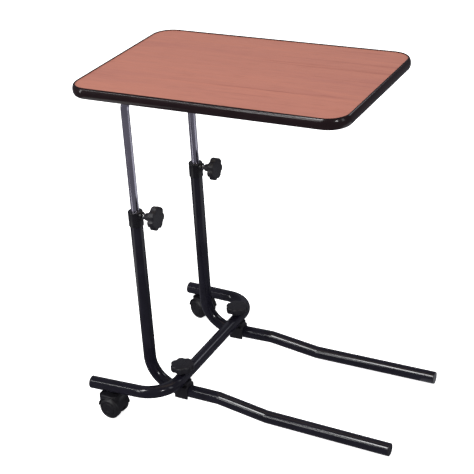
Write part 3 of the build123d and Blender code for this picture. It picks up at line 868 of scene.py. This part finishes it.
# ------------------------------------------------------------------ collars and saddles
def make_collars():
    """A sleeve over the leg's top edge with a boss for the clamp screw."""
    sleeve = soften([(0, COLLAR_BOTTOM_Z, 0), (COLLAR_R, COLLAR_BOTTOM_Z, 0.8),
                     (COLLAR_R, COLLAR_TOP_Z, 2.2), (0, COLLAR_TOP_Z, 0)], 6)
    boss = soften([(0, 0, 0), (BOSS_R, 0, 0), (BOSS_R, BOSS_REACH, 1.2), (0, BOSS_REACH, 0)], 6)
    points = NUT_FLATS / math.sqrt(3)
    hexagon = [(points * math.cos(math.radians(60 * k)), points * math.sin(math.radians(60 * k)))
               for k in range(6)]
    across = along_x(0, 0, CLAMP_Z)
    lower, upper = spun(Matrix.Identity(4), 0.7, 2)
    for side_name, side in SIDES.items():
        body = turned(sleeve, 96)
        steps = [("UNION", turned(boss, 64, across)),
                 ("DIFFERENCE", rod(TUBE_R, COLLAR_BOTTOM_Z - 5, UPRIGHT_TOP_Z, lower, 96)),
                 ("DIFFERENCE", rod(INNER_R + 0.1, UPRIGHT_TOP_Z - 1, COLLAR_TOP_Z + 5, upper, 96)),
                 ("DIFFERENCE", moved(across, prism(hexagon, INNER_R - 1, TUBE_R + 4))),
                 ("DIFFERENCE", rod(M8_HOLE_R, TUBE_R, 2 * BOSS_REACH, across @ lower))]
        bm = moved(place_at(UPRIGHT_X, side * UPRIGHT_Y, 0), carved(body, steps, 0.3))
        finish_piece(f"height_collar_{side_name}", bm, LOOKS["collar_plastic"],
                     "frame", [f"collar_{side_name}"])


def make_saddles():
    """A moulded block that straddles the leg and cradles the base tube."""
    level = along_x(0, 0, LEG_RUN_Z)
    trough = Matrix.Translation((0, 0, BASE_Z)) @ Matrix.Rotation(math.radians(90), 4, "X")
    reach = SADDLE_LENGTH
    shoulder = rounded_over(SADDLE_BOTTOM_Z, SADDLE_SHOULDER_Z, SADDLE_ROUNDING, 18)
    for side_name, side in SIDES.items():
        body = rounded_block(SADDLE_LENGTH, SADDLE_WIDTH, SADDLE_CORNER, shoulder)
        cradle = rounded_block(SADDLE_LENGTH, CRADLE_WIDTH, SADDLE_CORNER,
                               ((0, LEG_RUN_Z), (0, SADDLE_TOP_Z)))
        channel = rounded_block(2 * reach, 2 * SADDLE_CHANNEL_R, LEAST_CORNER,
                                ((0, 0), (0, LEG_RUN_Z)))
        steps = [("UNION", cradle),
                 ("DIFFERENCE", channel),
                 ("DIFFERENCE", rod(SADDLE_CHANNEL_R, -reach, reach, level, 96)),
                 ("DIFFERENCE", rod(SADDLE_CHANNEL_R, -reach, reach, trough, 96)),
                 ("DIFFERENCE", rod(M8_HOLE_R, SADDLE_BOTTOM_Z, BASE_Z))]
        place = place_at(BAR_X, side * CROSSING_Y, 0, side * TOE_OUT)
        finish_piece(f"bar_saddle_{side_name}", moved(place, carved(body, steps, 0.4)),
                     LOOKS["black_plastic"], "frame", [f"saddle_{side_name}"])


def make_bolts_and_washers():
    """Domed bolts up through each crossing, and the plain washer under each knob."""
    head_top = LEG_RUN_Z - TUBE_R
    shank_top = BASE_Z - TUBE_R
    dome = soften([(0, head_top - 4, 0), (5.5, head_top - 4, 4), (9, head_top - 1.6, 2.4),
                   (9, head_top, 0.2), (SCREW_R, head_top, 0.3), (SCREW_R, shank_top, 0)], 6)
    washer = soften([(WASHER_BORE_R, 0, 0.2), (WASHER_R, 0, 0.25),
                     (WASHER_R, WASHER_THICKNESS, 0.35), (WASHER_BORE_R, WASHER_THICKNESS, 0.2)], 4)
    bolts = []
    for side_name, side in SIDES.items():
        place = place_at(BAR_X, side * CROSSING_Y, 0, side * TOE_OUT)
        bolts.append(lathe(dome + [(0, shank_top)], 64, place))
        bolts.append(moved(place, threaded_rod(shank_top - 1, BOLT_TOP_Z)))
        lift = Matrix.Translation((0, 0, BASE_Z + TUBE_R))
        finish_piece(f"bearing_washer_{side_name}", lathe(washer, 72, place @ lift), LOOKS["zinc"],
                     f"washer_{side_name}", [f"washer_{side_name}"])
    finish_piece("domed_bolts", merged(*bolts), LOOKS["zinc"], "frame", ["carriage_bolts"])


# ------------------------------------------------------------------ carried-over nodes
def dress_remaining_nodes():
    """Every CAD node that stays visible takes its slot's material."""
    slots = {"board_core": "board", "backing_sheet": "backing", "guide_plugs": "white_nylon",
             "top_screws": "zinc", "clamp_nuts": "zinc", "castor_axle": "zinc",
             "castor_stem": "zinc", "knob_insert": "brass"}
    for node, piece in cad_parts.items():
        if piece.hide_render:
            continue
        slot = next((slots[start] for start in slots if node.startswith(start)), "black_plastic")
        piece.data.materials.clear()
        piece.data.materials.append(LOOKS[slot])


# ------------------------------------------------------------------ studio
def make_floor():
    """A pale floor that glows a little, so that it stays white and takes no shadow."""
    bm = bmesh.new()
    bmesh.ops.create_grid(bm, x_segments=8, y_segments=8, size=8.0)
    mesh = bpy.data.meshes.new("floor")
    bm.to_mesh(mesh)
    bm.free()
    n = Nodes("pale_floor")
    tone = n.ramp(n.noise(3.0), (0.3, (0.955, 0.955, 0.955, 1)), (0.7, (0.97, 0.97, 0.97, 1)))
    glow = {"Emission_Color": (1, 1, 1, 1), "Emission_Strength": 0.8}
    mesh.materials.append(n.finish(tone, 0.9, IOR=1.2, **glow))
    floor = bpy.data.objects.new("floor", mesh)
    floor.location.z = -0.0005
    floor.visible_glossy = False
    floor.visible_diffuse = False
    bpy.context.scene.collection.objects.link(floor)


def softbox(name, position, target, width, height, power, colour=(1, 1, 1), fill=True):
    """A rectangular light; without fill it is only seen as a highlight."""
    data = bpy.data.lights.new(name, "AREA")
    data.shape = "RECTANGLE"
    data.size, data.size_y = width, height
    data.energy = power
    data.color = colour
    light = bpy.data.objects.new(name, data)
    light.location = position
    light.rotation_euler = (Vector(target) - Vector(position)).to_track_quat("-Z", "Y").to_euler()
    light.visible_camera = False
    light.visible_diffuse = fill
    bpy.context.scene.collection.objects.link(light)


def make_light():
    """Even white light all round, kept low in reflections so that strips make the highlights."""
    world = bpy.data.worlds.new("studio")
    bpy.context.scene.world = world
    world.use_nodes = True
    nodes, links = world.node_tree.nodes, world.node_tree.links
    path = nodes.new("ShaderNodeLightPath")
    room, mirrored = nodes["Background"], nodes.new("ShaderNodeBackground")
    room.inputs["Color"].default_value = (1, 1, 1, 1)
    room.inputs["Strength"].default_value = 1.0
    mirrored.inputs["Color"].default_value = (0.88, 0.87, 1.0, 1)
    mirrored.inputs["Strength"].default_value = 0.15
    choice = nodes.new("ShaderNodeMixShader")
    links.new(path.outputs["Is Glossy Ray"], choice.inputs["Fac"])
    links.new(room.outputs["Background"], choice.inputs[1])
    links.new(mirrored.outputs["Background"], choice.inputs[2])
    links.new(choice.outputs["Shader"], nodes["World Output"].inputs["Surface"])
    softbox("front_high", (-0.6, -2.0, 2.9), (0.1, 0, 0.6), 0.5, 0.8, 30)
    softbox("front_long", (-1.1, -2.3, 2.2), (-0.1, 0, 0.3), 1.7, 0.12, 13)
    softbox("front_low", (-1.0, -2.8, 1.55), (0, 0, 0.7), 0.5, 0.35, 6)
    softbox("corner_key", (2.6, -1.8, 1.7), (0, 0, 0.6), 0.4, 0.4, 18, fill=False)
    softbox("left_strip", (-2.3, -2.0, 1.2), (-0.2, 0, 0.4), 0.16, 1.8, 12)
    softbox("right_back", (1.7, 2.4, 2.2), (0, 0, 0.6), 1.2, 0.8, 9, (0.90, 0.93, 1.0))
    softbox("right_panel", (2.8, -0.3, 1.5), (-0.2, 0, 0.4), 0.5, 1.6, 5, (0.92, 0.95, 1.0))
    softbox("behind", (-1.6, 3.0, 1.9), (0, 0, 0.7), 2.6, 1.4, 1.5, (0.86, 0.92, 1.0))
    softbox("left_card", (-0.80, -0.60, 0.002), (-0.80, -0.60, 1), 0.3, 0.9, 0.7)
    softbox("right_card", (0.80, 0.45, 0.002), (0.80, 0.45, 1), 1.0, 1.0, 1.5, (0.94, 0.96, 1.0))
    bpy.context.scene.view_settings.view_transform = "Standard"


def make_camera():
    """A long lens on the right-hand side, towards the feet, looking down on the top."""
    azimuth, elevation, roll = (math.radians(a) for a in (27.98, 26.75, -3.60))
    distance, target = 2.73954, Vector((-0.06946, 0.0, 0.36739))
    level = math.cos(elevation)
    back = Vector((math.sin(azimuth) * level, -math.cos(azimuth) * level, math.sin(elevation)))
    right = (-back).cross(AXIS_Z).normalized()
    up = right.cross(-back)
    across = right * math.cos(roll) + up * math.sin(roll)
    upward = up * math.cos(roll) - right * math.sin(roll)
    data = bpy.data.cameras.new("camera")
    data.sensor_width = 36.0
    data.lens = 96.33
    camera = bpy.data.objects.new("camera", data)
    camera.matrix_world = Matrix.Translation(target + back * distance) @ Matrix(
        (across, upward, back)).transposed().to_4x4()
    bpy.context.scene.collection.objects.link(camera)
    bpy.context.scene.camera = camera


make_laminate()
make_edging()
make_top_tubes()
make_legs()
make_base()
make_clamp_knobs()
make_base_knobs()
make_clamp_screws()
make_wheels()
make_hoods()
make_collars()
make_saddles()
make_bolts_and_washers()
dress_remaining_nodes()
make_floor()
make_light()
make_camera()
